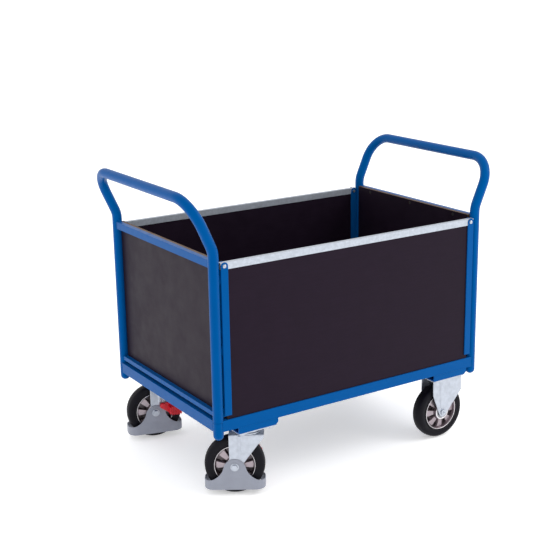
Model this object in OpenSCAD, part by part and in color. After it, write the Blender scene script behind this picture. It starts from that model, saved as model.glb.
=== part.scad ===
// Four-walled platform truck: tube end frames with push handles, two lift-out long
// walls, plywood deck, two braked swivel castors with foot guards, two fixed castors.
// X runs along the truck, Y across it, Z up. The origin is on the floor, under the middle.

/* [Overall] */
// Distance between the post axes along the truck
truck_l = 1050; // [800:10:1400]
// Distance between the post axes across the truck
truck_w = 668; // [560:4:900]
// Height of the top of the base frame above the floor
base_top_z = 296; // [280:1:330]
// Height of the grip axis above the floor
grip_z = 1003; // [960:1:1100]
// Height of the top rails above the floor
rail_top_z = 806; // [700:1:820]

/* [Tube frames] */
// Outer diameter of the post tube
tube_d = 33.7; // [30:0.1:38]
// Wall of the post tube
tube_wall = 2.6; // [2:0.1:4]
// Angle at which the handle leans outwards
handle_lean = 24; // [10:1:35]
// Distance from the post axis out to the grip axis
grip_out = 72; // [40:1:100]
// Bend radius where the post starts to lean, on the tube axis
lean_bend_r = 80; // [60:1:120]
// Bend radius of the handle corners, on the tube axis
corner_bend_r = 92; // [60:1:110]
// Height of the top crossbar section
crossbar_h = 24.5; // [20:0.5:40]
// Height of the lower bar section
lower_bar_h = 14.5; // [10:0.5:25]
// Depth of both bars
bar_d = 16; // [12:0.5:25]
// Length of the plug below the post joint
spigot_l = 42; // [25:1:45]
// Depth of the rounded socket end below the base frame
socket_drop = 30; // [20:1:50]

/* [Base frame] */
// Height of the base channel
base_h = 37; // [32:1:50]
// Width of the base channel flanges
base_w = 40; // [30:1:60]
// Sheet thickness of the base channel
base_t = 3; // [2:0.5:5]
// How far the base channel stands outside the post axes
base_out = 15.5; // [12:0.5:16]
// Thickness of the plywood deck
deck_t = 12; // [9:1:18]
// Width of a cross bearer
bearer_w = 25; // [20:1:40]
// Wall of a cross bearer
bearer_t = 2; // [1.5:0.5:4]

/* [Walls] */
// Thickness of the wall and end boards
board_t = 12; // [9:0.5:15]
// Height of the galvanised top rail
rail_h = 22; // [16:1:30]
// Sheet thickness of the top rail
rail_t = 1.5; // [1:0.1:3]
// Width of the upright end profile
profile_w = 25; // [22:0.5:35]
// Front and back cover of the end profile over the rail
profile_t = 2; // [1.5:0.1:3]
// Depth of the groove that holds the board in the end profile
board_groove = 12.5; // [8:0.5:14]
// Depth of the groove that runs on the post tongues
tongue_groove = 8; // [6:0.5:10]
// Thickness of a post tongue
tongue_t = 5; // [4:0.5:7]
// Height of a post tongue
tongue_h = 28; // [20:1:40]

/* [Castors] */
// Wheel diameter
wheel_d = 200; // [160:5:205]
// Tyre width
tyre_w = 48; // [40:1:52]
// Diameter of the rim
rim_d = 136; // [110:1:160]
// Hub length
hub_l = 60; // [56:1:70]
// Hub diameter
hub_d = 58; // [54:1:70]
// Number of ribs on each side of the rim
rib_count = 8; // [5:1:12]
// Axle bolt diameter
axle_d = 12; // [10:0.5:16]
// Outside diameter of the spacer tube on the axle
spacer_d = 20; // [18:0.5:24]
// Outside diameter of the wheel bearing
bearing_d = 47; // [40:1:50]
// Width of the wheel bearing
bearing_w = 14; // [10:1:16]
// Height of the castor plate's upper face above the floor
castor_h = 237; // [232:1:250]
// Castor plate length
plate_l = 140; // [130:1:160]
// Castor plate width
plate_w = 110; // [100:1:120]
// Castor plate thickness
plate_t = 5; // [3:0.5:8]
// Bolt spacing along the castor plate
bolt_dx = 105; // [100:1:110]
// Bolt spacing across the castor plate
bolt_dy = 86; // [84:1:90]
// Castor bolt diameter
castor_bolt_d = 10; // [8:1:12]
// Distance from the swivel axis back to the wheel axle
trail = 50; // [30:1:60]
// Thickness of the fork sheet
fork_t = 4; // [3:0.5:6]
// King pin diameter
kingpin_d = 12; // [10:1:16]
// Swivel axis, in from the left post axis
swivel_in_x = 140; // [120:1:180]
// Fixed wheel axle, in from the right post axis
fixed_in_x = 115; // [108:1:180]
// Fixed castor plate's middle, from its axle
fixed_plate_shift = 9; // [0:1:15]
// Castor plate middle line, in from the post axes across the truck
castor_in_y = 43; // [40:1:80]
// Resting turn of the near swivel castor
near_turn = -33; // [-60:1:60]
// Resting turn of the far swivel castor
far_turn = -15; // [-60:1:60]

/* [Foot guard and brake] */
// Half length of the guard band from the axle
guard_reach = 100; // [98:1:115]
// Height of the guard band's lower edge above the floor
guard_z = 21; // [15:1:35]
// Height of the guard band
guard_band_h = 31; // [25:1:45]
// Radius of the guard's dome over the axle
bell_r = 37; // [32:1:42]
// Top of the dome above the axle
bell_rise = 27.5; // [20:0.5:32]
// Radius of the flare from the dome into the band
flare_r = 58; // [50:1:65]
// Sheet thickness of the guard
guard_t = 2.5; // [2:0.5:4]
// Width of the pedal tread
pedal_tread_w = 26; // [18:1:35]
// Thickness of the pedal arm
pedal_arm_t = 5; // [4:0.5:8]

/* [Clearances] */
// Radial clearance of running fits
run_gap = 0.05; // [0.02:0.01:0.1]
// Gap between pieces of one welded or bolted body
seat_gap = 0.15; // [0.05:0.05:0.3]
// Gap between pieces that move past each other
move_gap = 0.5; // [0.3:0.1:1]
// Radial clearance of bolts in their holes
bolt_gap = 0.4; // [0.2:0.1:1]

/* [Hidden] */
$fn = 64;

// Colours
paint_blue = [0.0, 0.4, 0.72];
zinc = [0.74, 0.77, 0.81];
film_ply = [0.2, 0.17, 0.2];
rubber_black = [0.08, 0.08, 0.1];
cast_alu = [0.72, 0.68, 0.7];
guard_grey = [0.62, 0.64, 0.69];
pedal_red = [0.82, 0.04, 0.12];

// Posts and handles
px = truck_l / 2;
py = truck_w / 2;
tube_r = tube_d / 2;
bore_r = tube_r - tube_wall;
draw_down = 0.25;
socket_bottom_z = base_top_z - base_h - socket_drop;
joint_z = base_top_z - 6;
spigot_r = bore_r - 0.1;
lean_t = lean_bend_r * tan(handle_lean / 2);
bend_z = round(100 * (grip_z - grip_out / tan(handle_lean) - lean_t)) / 100;
leg_l = round(100 * (grip_out / sin(handle_lean) - lean_t - corner_bend_r)) / 100;
screw_z = base_top_z - 20;
screw_r = 3;

// Base frame
member_y = py + base_out;
member_x = px + base_out;
member_z = base_top_z - base_h;
deck_top_z = base_top_z + deck_t;
bracket_t = 4;
bracket_l = plate_l + 9;
bracket_w = plate_w + 8;
bracket_corner = 9;

// Bars and end boards
bar_x = px + 10.5;
lower_bar_z = deck_top_z + 0.5;
crossbar_z = rail_top_z + 8.8 - crossbar_h;
bar_half = py - tube_r - seat_gap;
end_board_x = bar_x - bar_d - seat_gap;
end_board_half = py - tube_r - 1;
deck_half_l = end_board_x - board_t - 0.8;
board_screw_zs = [lower_bar_z + lower_bar_h / 2, crossbar_z + crossbar_h / 2];

// Long walls, all drawn for the near side
wall_y = -(py + 6);
rail_half = board_t / 2 + 0.2 + rail_t;
profile_half = rail_half + 0.2 + profile_t;
profile_x = px - tube_r - 0.65;
profile_in_x = profile_x - profile_w;
web_out_x = profile_x - tongue_groove;
groove_in_x = profile_in_x + board_groove;
rail_z = rail_top_z - rail_h;
wall_z = base_top_z + 0.4;
profile_z = base_top_z + 14;
wall_bolt_x = profile_x - profile_w / 2;
wall_bolt_z = rail_top_z - rail_h / 2;
wall_bolt_r = 4;
tongue_x = web_out_x + 1;
tongue_zs = [base_top_z + 24, base_top_z + 229, base_top_z + 455];
wall_nut_h = 2;
deck_half_w = -wall_y - profile_half - seat_gap - wall_nut_h - 0.3;

// Castors
wheel_r = wheel_d / 2;
rim_r = rim_d / 2;
leg_in = hub_l / 2 + 0.5;
leg_out = leg_in + fork_t;
crown_z = castor_h - 29;
swivel_x = -(px - swivel_in_x);
fixed_x = px - fixed_in_x;
fixed_plate_x = fixed_x + fixed_plate_shift;
castor_y = py - castor_in_y;
castor_bolt_r = castor_bolt_d / 2;
guard_in = leg_out + seat_gap;
guard_out = guard_in + guard_t;
guard_half = guard_out + 3;
guard_corner_r = 32;
pin_a = 26;
pin_z = wheel_r + 25;
pin_r = 4;
pedal_in = guard_out + 0.7;
pedal_arm_out = pedal_in + pedal_arm_t;

// ---------- shared shapes ----------

// Both ends or both sides of the truck
module both_x() {
    children();
    mirror([1, 0, 0]) children();
}

module both_y() {
    children();
    mirror([0, 1, 0]) children();
}

// A rod along Y, centred on the origin
module rod_y(r, len) {
    rotate([90, 0, 0]) cylinder(r = r, h = len, center = true);
}

// A hexagon prism along Y, from the origin outwards
module hex_y(across, len) {
    rotate([90, 0, 0]) cylinder(d = across / cos(30), h = len, $fn = 6);
}

// Both posts and the handle over them, at the right end, as one bent rod of radius r.
// The bent legs are drawn down a little, and seat 1 mm inside the post and the grip.
module handle_path(r, z0) {
    leg_r = r - draw_down;
    translate([px + grip_out, 0, grip_z]) rod_y(r, 2 * (py - corner_bend_r + 1));
    both_y() {
        translate([px, -py, z0]) cylinder(r = r, h = bend_z - z0);
        translate([px + lean_bend_r, -py, bend_z]) {
            rotate([90, 0, 0]) rotate_extrude(angle = handle_lean, start = 180 - handle_lean)
                translate([lean_bend_r, 0]) circle(r);
            rotate([0, handle_lean, 0]) translate([-lean_bend_r, 0, 0]) {
                translate([0, 0, -1]) cylinder(r = leg_r, h = leg_l + 1);
                translate([0, corner_bend_r, leg_l]) rotate([90, 0, 90])
                    rotate_extrude(angle = 90, start = 90)
                        translate([corner_bend_r, 0]) circle(leg_r);
            }
        }
    }
}

module on_side(side) {
    if (side < 0) children();
    else mirror([0, 1, 0]) children();
}

// One handle tube with plug ends, at the right end
module handle_tube() {
    difference() {
        union() {
            handle_path(tube_r, joint_z + 0.3);
            both_y() translate([px, -py, joint_z - spigot_l])
                cylinder(r = spigot_r, h = spigot_l + 1);
        }
        handle_path(bore_r, joint_z + 30);
        frame_screw_axes(screw_r + bolt_gap);
    }
}

// Screw axes from the inside corner into each socket
module frame_screw_axes(r) {
    both_x() both_y()
        translate([px, py, screw_z]) rotate([0, 0, 225]) rotate([0, 90, 0])
            cylinder(r = r, h = tube_r + 3);
}

module post_clear(extra) {
    both_x() both_y() translate([px, py, 0]) cylinder(r = tube_r + extra, h = grip_z);
}

// Channel section with mitred flanges, outer face at y = -out, running along X
module channel_member(half_l, out) {
    difference() {
        union() {
            for (z = [0, base_h - base_t])
                translate([0, 0, member_z + z]) linear_extrude(base_t)
                    polygon([
                        [-half_l, -out], [half_l, -out], [half_l, base_out - out],
                        [half_l - base_w + base_out, base_w - out],
                        [base_w - base_out - half_l, base_w - out], [-half_l, base_out - out]
                    ]);
            translate([-half_l, -out, member_z]) cube([2 * half_l, base_t, base_h]);
        }
        translate([0, 0, member_z - 1]) {
            for (x = [-half_l, half_l])
                translate([x, base_out - out, 0]) cylinder(r = tube_r + seat_gap, h = base_h + 2);
        }
        for (s = [-1, 1])
            translate([s * half_l, base_out - out, member_z - 1]) rotate([0, 0, 90 + s * 45])
                translate([0, -seat_gap, 0]) cube([3 * base_w, 2 * seat_gap, base_h + 2]);
    }
}

// ---------- base ----------

module side_member() {
    color(paint_blue) channel_member(px, member_y);
}

module end_member() {
    color(paint_blue) rotate([0, 0, -90]) channel_member(py, member_x);
}

module corner_sockets() {
    color(paint_blue) difference() {
        both_x() both_y() translate([px, py, 0]) {
            translate([0, 0, socket_bottom_z + tube_r])
                cylinder(r = tube_r, h = joint_z - socket_bottom_z - tube_r);
            translate([0, 0, socket_bottom_z + tube_r]) sphere(r = tube_r);
        }
        both_x() both_y() translate([px, py, joint_z - spigot_l - 4])
            cylinder(r = bore_r, h = spigot_l + 5);
        frame_screw_axes(screw_r + bolt_gap);
    }
}

// Rectangular tubes across the truck, under the deck
module cross_bearers() {
    bearer_half = member_y - base_w - 1;
    bracket_top_z = castor_h + seat_gap + bracket_t;
    color(paint_blue) {
        for (cx = [swivel_x, fixed_plate_x], s = [-1, 1])
            box_tube(cx + s * (bearer_w / 2 + 12), bracket_top_z + seat_gap, bearer_half);
        box_tube(0, member_z, bearer_half);
    }
}

module box_tube(x, z, half) {
    h = base_top_z - seat_gap - z;
    difference() {
        translate([x - bearer_w / 2, -half, z]) cube([bearer_w, 2 * half, h]);
        translate([x - bearer_w / 2 + bearer_t, -half - 1, z + bearer_t])
            cube([bearer_w - 2 * bearer_t, 2 * half + 2, h - 2 * bearer_t]);
    }
}

// Pressed plates that carry the castors, with a skirt flush with the frame
module castor_brackets() {
    color(paint_blue) for (cx = [swivel_x, fixed_plate_x])
        both_y() castor_bracket(cx);
}

module castor_bracket(cx) {
    z0 = castor_h + seat_gap;
    skirt_h = member_z - seat_gap - z0;
    half = bracket_l / 2;
    upright = 12;
    difference() {
        union() {
            translate([cx - half, -member_y, z0])
                cube([bracket_l - bracket_corner, bracket_w, bracket_t]);
            translate([cx, -member_y + bracket_t, z0]) rotate([90, 0, 0])
                linear_extrude(bracket_t) polygon([
                    [-half, 0], [half - bracket_corner, 0], [half, bracket_corner],
                    [half, skirt_h], [-half, skirt_h]
                ]);
            for (x = [cx - half, cx + half - bracket_corner - upright])
                translate([x, bracket_w - member_y - bracket_t, z0])
                    cube([upright, bracket_t, base_top_z - seat_gap - z0]);
        }
        castor_holes(cx, castor_h - 1, 2 * bracket_t, castor_bolt_r + bolt_gap);
        translate([cx, -castor_y, castor_h - 1]) cylinder(r = kingpin_d, h = 2 * bracket_t);
    }
}

// The four bolt axes of one castor plate on the near side
module castor_holes(cx, z, h, r) {
    for (dx = [-1, 1], dy = [-1, 1])
        translate([cx + dx * bolt_dx / 2, -castor_y + dy * bolt_dy / 2, z])
            cylinder(r = r, h = h);
}

module castor_bolts() {
    head_h = 6.4;
    nut_h = 8;
    across = 1.6 * castor_bolt_d;
    shank_h = plate_t + bracket_t + 2 * seat_gap + nut_h + 3;
    color(zinc) for (cx = [swivel_x, fixed_plate_x])
        both_y() for (dx = [-1, 1], dy = [-1, 1])
            translate([cx + dx * bolt_dx / 2, -castor_y + dy * bolt_dy / 2, castor_h - plate_t]) {
                translate([0, 0, -head_h - seat_gap])
                    cylinder(d = across / cos(30), h = head_h, $fn = 6);
                translate([0, 0, -seat_gap]) cylinder(r = castor_bolt_r, h = shank_h);
                translate([0, 0, plate_t + bracket_t + 2 * seat_gap])
                    cylinder(d = across / cos(30), h = nut_h, $fn = 6);
            }
}

module deck_screw_axes(r, h, z) {
    for (x = [swivel_x - 24.5, 0, fixed_plate_x + 24.5], y = [-0.36, 0, 0.36])
        translate([x, y * truck_w, z]) cylinder(r = r, h = h);
}

module deck_board() {
    color(film_ply) difference() {
        translate([-deck_half_l, -deck_half_w, base_top_z])
            cube([2 * deck_half_l, 2 * deck_half_w, deck_t]);
        deck_screw_axes(screw_r + seat_gap, deck_t + 2, base_top_z - 1);
        deck_screw_axes(2 * screw_r + seat_gap, 4, deck_top_z - 3);
    }
}

// Countersunk screws of the deck and of both end boards
module board_screws() {
    color(zinc) {
        deck_screw_axes(screw_r, deck_t - 3, base_top_z);
        deck_screw_axes(2 * screw_r, 2.8, deck_top_z - 3 + seat_gap);
        both_x() {
            end_screw_axes(screw_r, 1, board_t + 8);
            end_screw_axes(2 * screw_r, seat_gap, 2.8);
        }
    }
}

module frame_screws() {
    color(zinc) difference() {
        union() {
            frame_screw_axes(screw_r);
            both_x() both_y() translate([px, py, screw_z]) rotate([0, 0, 225])
                rotate([0, 90, 0]) translate([0, 0, tube_r + seat_gap])
                    cylinder(r = 2 * screw_r, h = 3);
        }
        both_x() both_y() translate([px, py, screw_z - 20]) cylinder(r = 6, h = 40);
    }
}

// ---------- end frames ----------

module end_bar(z, h) {
    color(paint_blue) difference() {
        translate([bar_x - bar_d, -bar_half - 12, z]) cube([bar_d, 2 * bar_half + 24, h]);
        post_clear(seat_gap);
        translate([bar_x - bar_d - 1, py, z - 1]) cube([bar_d + 2, 30, h + 2]);
        translate([bar_x - bar_d - 1, -py - 30, z - 1]) cube([bar_d + 2, 30, h + 2]);
        end_screw_axes(screw_r + seat_gap, board_t - 1, 12);
    }
}

// Screw axes from the board's inner face into both bars, starting at a depth
module end_screw_axes(r, depth, len) {
    for (y = [-0.36, 0, 0.36], z = board_screw_zs)
        translate([end_board_x - board_t + depth, y * truck_w, z]) rotate([0, 90, 0])
            cylinder(r = r, h = len);
}

module end_board() {
    z0 = deck_top_z + 0.8;
    color(film_ply) difference() {
        translate([end_board_x - board_t, -end_board_half, z0])
            cube([board_t, 2 * end_board_half, crossbar_z + crossbar_h - 0.8 - z0]);
        end_screw_axes(screw_r + seat_gap, -1, board_t + 2);
        end_screw_axes(2 * screw_r + seat_gap, -1, 4);
    }
}

// ---------- long walls ----------

// Tongues on the posts that the wall profiles slide over
module wall_tongues() {
    color(paint_blue) difference() {
        both_x() both_y() for (z = tongue_zs)
            translate([tongue_x, wall_y - tongue_t / 2, z - tongue_h / 2])
                cube([px - tongue_x, tongue_t, tongue_h]);
        post_clear(seat_gap);
    }
}

module wall_board() {
    board_x = groove_in_x - 0.3;
    color(film_ply) difference() {
        translate([-board_x, wall_y - board_t / 2, wall_z])
            cube([2 * board_x, board_t, rail_top_z - rail_t - 0.2 - wall_z]);
        wall_bolt_axes(wall_bolt_r + seat_gap);
    }
}

module wall_rail() {
    color(zinc) difference() {
        translate([-profile_x, wall_y - rail_half, rail_z])
            cube([2 * profile_x, 2 * rail_half, rail_h]);
        translate([-profile_x - 1, wall_y - rail_half + rail_t, rail_z - 1])
            cube([2 * profile_x + 2, 2 * (rail_half - rail_t), rail_h + 1 - rail_t]);
        wall_bolt_axes(wall_bolt_r + seat_gap);
    }
}

module wall_bolt_axes(r) {
    both_x() translate([wall_bolt_x, wall_y, wall_bolt_z]) rod_y(r, 4 * profile_half);
}

// Upright end profiles: board groove inside, tongue groove outside, round ears on top
module wall_profiles() {
    color(paint_blue) both_x() difference() {
        union() {
            translate([profile_in_x, wall_y - profile_half, profile_z])
                cube([profile_w, 2 * profile_half, rail_z - 0.2 - profile_z]);
            for (y = [-profile_half, profile_half - profile_t]) {
                translate([profile_in_x, wall_y + y, rail_z - 1])
                    cube([profile_w, profile_t, wall_bolt_z + 1 - rail_z]);
                translate([wall_bolt_x, wall_y + y + profile_t / 2, wall_bolt_z])
                    rod_y(profile_w / 2, profile_t);
            }
        }
        translate([profile_in_x - 1, wall_y - board_t / 2 - 0.15, profile_z - 1])
            cube([board_groove + 1, board_t + 0.3, rail_h + rail_top_z]);
        translate([web_out_x, wall_y - tongue_t / 2 - move_gap, profile_z - 1])
            cube([tongue_groove + 1, tongue_t + 2 * move_gap, rail_z - profile_z + 2]);
        wall_bolt_axes(wall_bolt_r + seat_gap);
    }
}

module wall_bolts() {
    out_y = profile_half + seat_gap;
    color(zinc) both_x() translate([wall_bolt_x, wall_y, wall_bolt_z]) {
        rod_y(wall_bolt_r, 2 * out_y + wall_nut_h);
        intersection() {
            translate([0, -out_y + 4, 0]) sphere(r = 8);
            translate([-9, -out_y - 5, -9]) cube([18, 5, 18]);
        }
        translate([0, out_y + wall_nut_h, 0]) hex_y(11, wall_nut_h);
    }
}

// ---------- castors, drawn with the axle at a = 0 and the swivel axis at a = trail ----------

// One side plate of a fork: round about the axle, widening to the crown
module leg_outline(a0, a1, top_z, shoulder_z) {
    boss_r = 17;
    inner_r = boss_r - 0.4;
    reach = norm([a1, shoulder_z - wheel_r]);
    lean = atan2(shoulder_z - wheel_r, a1) - acos(boss_r / reach);
    back = norm([a0, shoulder_z - wheel_r]);
    back_lean = atan2(shoulder_z - wheel_r, a0) + acos(boss_r / back);
    translate([0, wheel_r]) circle(boss_r);
    polygon([
        [a0, top_z], [a1, top_z], [a1, shoulder_z],
        [inner_r * cos(lean), wheel_r + inner_r * sin(lean)], [0, wheel_r],
        [inner_r * cos(back_lean), wheel_r + inner_r * sin(back_lean)], [a0, shoulder_z]
    ]);
}

module leg_plate(v0, t, a0, a1, top_z, shoulder_z) {
    translate([0, v0 + t, 0]) rotate([90, 0, 0])
        linear_extrude(t) leg_outline(a0, a1, top_z, shoulder_z);
}

module swivel_fork() {
    a0 = -17.5;
    a1 = 97;
    color(zinc) difference() {
        union() {
            leg_plate(leg_in, fork_t, a0, a1, crown_z + fork_t, crown_z - 4);
            leg_plate(-leg_out, fork_t, a0, a1, crown_z + fork_t, crown_z - 4);
            translate([a0, -leg_out, crown_z]) cube([a1 - a0, 2 * leg_out, fork_t]);
        }
        translate([0, 0, wheel_r]) rod_y(axle_d / 2 + run_gap, 3 * leg_out);
        translate([trail, 0, crown_z - 1]) cylinder(r = kingpin_d / 2 + run_gap, h = fork_t + 2);
        translate([pin_a, 0, pin_z]) rod_y(pin_r + run_gap, 3 * leg_out);
    }
}

// Lower half of the ball race, turning with the fork
module swivel_race() {
    color(zinc) translate([trail, 0, crown_z + fork_t + seat_gap]) difference() {
        union() {
            cylinder(r = 36, h = 5);
            cylinder(r = 31, h = 8);
        }
        translate([0, 0, -1]) cylinder(r = 18, h = 11);
    }
}

module swivel_plate(cx, cy) {
    translate([cx, cy, 0]) difference() {
        union() {
            translate([-plate_l / 2, -plate_w / 2, castor_h - plate_t])
                cube([plate_l, plate_w, plate_t]);
            translate([0, 0, crown_z + fork_t + 8 + move_gap])
                cylinder(r = 34, h = castor_h - plate_t - crown_z - fork_t - 8);
        }
        translate([0, 0, crown_z]) cylinder(r = kingpin_d / 2 + run_gap, h = castor_h);
        translate([-cx, castor_y, 0])
            castor_holes(cx, crown_z, castor_h, castor_bolt_r + bolt_gap);
    }
}

module swivel_plates() {
    color(zinc) both_y() swivel_plate(swivel_x, -castor_y);
}

module kingpins() {
    color(zinc) both_y() translate([swivel_x, -castor_y, 0]) {
        translate([0, 0, crown_z - 9]) cylinder(r = kingpin_d / 2, h = castor_h + 1 - crown_z + 9);
        translate([0, 0, crown_z - 8.3]) cylinder(d = 22, h = 8, $fn = 6);
        translate([0, 0, castor_h + seat_gap]) cylinder(r = kingpin_d / 2 + 3, h = 3);
    }
}

module axle_bolt(half) {
    washer_t = 1.5;
    color(zinc) translate([0, 0, wheel_r]) {
        rod_y(axle_d / 2, 2 * half + 2);
        for (v = [-half, half + washer_t]) translate([0, v, 0]) rotate([90, 0, 0])
            cylinder(r = 14, h = washer_t);
        translate([0, -half - 1, 0]) hex_y(18, 7);
        translate([0, half + washer_t + 8, 0]) hex_y(18, 8.5);
    }
}

module axle_spacer() {
    color(zinc) translate([0, 0, wheel_r]) difference() {
        rod_y(spacer_d / 2, 2 * leg_in - 0.2);
        rod_y(axle_d / 2 + run_gap, 2 * leg_in + 2);
    }
}

// Low round axle ends of the fixed castors
module fixed_axle_bolt() {
    half = leg_out + seat_gap;
    color(zinc) translate([0, 0, wheel_r]) difference() {
        union() {
            rod_y(axle_d / 2, 2 * half + 1);
            for (s = [-1, 1]) translate([0, s * (half + 2), 0]) rod_y(10, 4);
        }
        for (s = [-1, 1]) translate([0, s * (half + 4), 0]) rod_y(4, 5);
    }
}

module rim_body() {
    rim_t = 6;
    web_t = 6;
    rib_t = 4;
    color(cast_alu) translate([0, 0, wheel_r]) rotate([90, 0, 0]) difference() {
        union() {
            difference() {
                cylinder(r = rim_r - 0.1, h = tyre_w - 2, center = true);
                cylinder(r = rim_r - rim_t, h = tyre_w, center = true);
            }
            cylinder(r = rim_r - 1, h = web_t, center = true);
            cylinder(d = hub_d, h = hub_l, center = true);
            for (i = [0 : rib_count - 1])
                rotate([0, 0, i * 360 / rib_count])
                    translate([hub_d / 2 - 2, -rib_t / 2, 4 - tyre_w / 2])
                        cube([rim_r - rim_t / 2 - hub_d / 2 + 2, rib_t, tyre_w - 8]);
        }
        cylinder(r = spacer_d / 2 + 3, h = 2 * hub_l, center = true);
        for (s = [-1, 1]) translate([0, 0, s * hub_l / 2])
            cylinder(r = bearing_d / 2 + run_gap, h = 2 * bearing_w, center = true);
    }
}

module wheel_bearings() {
    color(zinc) translate([0, 0, wheel_r])
        for (s = [-1, 1]) translate([0, s * (hub_l - bearing_w - 1) / 2, 0]) difference() {
            rod_y(bearing_d / 2, bearing_w - 1);
            rod_y(spacer_d / 2 + run_gap, bearing_w + 1);
            for (t = [-1, 1]) translate([0, t * bearing_w / 2, 0]) difference() {
                rod_y(bearing_d / 2 - 4, 3);
                rod_y(spacer_d / 2 + 3.5, 4);
            }
        }
}

// Tyre ring with a crowned tread and round shoulders
module tyre_ring() {
    shoulder = 13;
    bead = rim_r + 0.05;
    half = tyre_w / 2;
    crown = 1.5;
    color(rubber_black) translate([0, 0, wheel_r]) rotate([90, 0, 0])
        rotate_extrude($fn = 96) polygon(concat(
            [[bead, 1 - half], [bead + 3, -half]],
            [for (i = [0 : 6]) [
                wheel_r - crown - shoulder + shoulder * sin(15 * i),
                shoulder - half - shoulder * cos(15 * i)
            ]],
            [[wheel_r, -4], [wheel_r, 4]],
            [for (i = [6 : -1 : 0]) [
                wheel_r - crown - shoulder + shoulder * sin(15 * i),
                half - shoulder + shoulder * cos(15 * i)
            ]],
            [[bead + 3, half], [bead, half - 1]]
        ));
}

// ---------- foot guard and brake pedal ----------

// Plan of the guard band at a given inset
module guard_plan(inset) {
    r = guard_corner_r - inset;
    x = guard_reach - guard_corner_r;
    y = guard_half - guard_corner_r;
    for (sx = [-1, 1], sy = [-1, 1]) translate([sx * x, sy * y]) circle(r);
    square([2 * x, 2 * (y + r)], center = true);
    square([2 * (x + r), 2 * y], center = true);
}

// Outline of a guard side: a dome over the axle, flaring out into the band.
// The dome laps the flares a little, so that they cross it cleanly.
module guard_bell() {
    lap = 0.4;
    band_top = guard_z + guard_band_h;
    dome_z = wheel_r + bell_rise - bell_r;
    flare_z = band_top + flare_r;
    flare_a = sqrt(pow(bell_r + flare_r, 2) - pow(flare_z - dome_z, 2));
    meet_z = dome_z + bell_r * (flare_z - dome_z) / (bell_r + flare_r);
    end_a = min(flare_a, guard_reach - guard_corner_r + 13);
    translate([0, dome_z]) circle(bell_r + lap);
    difference() {
        translate([-end_a, band_top - 1]) square([2 * end_a, meet_z - band_top + 1]);
        for (s = [-1, 1]) translate([s * flare_a, flare_z]) circle(flare_r);
    }
}

module foot_guard() {
    ledge_half = guard_reach - guard_corner_r;
    ledge_t = 3;
    ledge_w = guard_half - guard_in;
    color(guard_grey) difference() {
        union() {
            translate([0, 0, guard_z]) linear_extrude(guard_band_h) difference() {
                guard_plan(0);
                guard_plan(guard_t);
            }
            for (s = [-1, 1])
                translate([0, s > 0 ? guard_out : -guard_in, 0]) rotate([90, 0, 0])
                    linear_extrude(guard_t) guard_bell();
            for (y = [guard_in, -guard_half])
                translate([-ledge_half, y, guard_z + guard_band_h - ledge_t])
                    cube([2 * ledge_half, ledge_w, ledge_t]);
        }
        translate([0, 0, wheel_r]) rod_y(axle_d / 2 + run_gap, 3 * leg_out);
    }
}

// Pin on one side only; side is -1 or 1
module pedal_pin(side) {
    inner = leg_in + 0.3;
    outer = pedal_arm_out + 0.7;
    color(zinc) translate([pin_a, 0, pin_z]) {
        translate([0, side * (inner + outer) / 2, 0]) rod_y(pin_r, outer - inner);
        translate([0, side * (outer + 1), 0]) rod_y(pin_r + 3, 2);
    }
}

// Arm outline in the plane of the wheel, from the pin
module pedal_outline() {
    circle(11);
    polygon([
        [-2, 11], [-6, -9], [20, -27], [24, -30], [64, -34], [66, -31], [66, -5], [60, 6],
        [54, 11], [30, 11]
    ]);
}

module brake_pedal(side) {
    color(pedal_red) on_side(side) difference() {
        union() {
            translate([pin_a, -pedal_in, pin_z]) rotate([90, 0, 0])
                linear_extrude(pedal_arm_t) pedal_outline();
            translate([pin_a, 1 - pedal_arm_out, pin_z]) rotate([90, 0, 0])
                linear_extrude(pedal_tread_w) polygon([
                    [20, -27], [26, -31], [62, -31], [65.5, -27], [65.5, -7], [60, 5], [54, 9],
                    [48, 5], [28, 1], [20, -3]
                ]);
        }
        translate([pin_a, 0, pin_z]) rod_y(pin_r + run_gap, 4 * pedal_arm_out);
    }
}

module fixed_fork() {
    a0 = -46;
    a1 = 84;
    top_z = castor_h - plate_t;
    plate_a = fixed_plate_x - fixed_x;
    color(zinc) difference() {
        union() {
            for (v = [leg_in, -leg_out]) leg_plate(v, fork_t, a0, a1, top_z + 1, top_z - 62);
            for (s = [-1, 1]) translate([0, s > 0 ? leg_out + 2 : -leg_out + 1, 0])
                rotate([90, 0, 0]) linear_extrude(3)
                    polygon([[-13, wheel_r + 18], [11, wheel_r + 18], [28, top_z - 4], [-20, top_z - 4]]);
            translate([plate_a - plate_l / 2, -plate_w / 2, top_z])
                cube([plate_l, plate_w, plate_t]);
        }
        translate([0, 0, wheel_r]) rod_y(axle_d / 2 + run_gap, 3 * leg_out);
        translate([-fixed_x, castor_y, 0])
            castor_holes(fixed_plate_x, top_z - 1, plate_t + 2, castor_bolt_r + bolt_gap);
    }
}

// ---------- placing the castors ----------

module near_swivel() {
    translate([swivel_x, -castor_y, 0]) rotate([0, 0, near_turn]) translate([-trail, 0, 0])
        children();
}

module far_swivel() {
    translate([swivel_x, castor_y, 0]) rotate([0, 0, far_turn]) translate([-trail, 0, 0])
        children();
}

module near_fixed() {
    translate([fixed_x, -castor_y, 0]) children();
}

module far_fixed() {
    translate([fixed_x, castor_y, 0]) children();
}

// ---------- the sub-parts ----------

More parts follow.
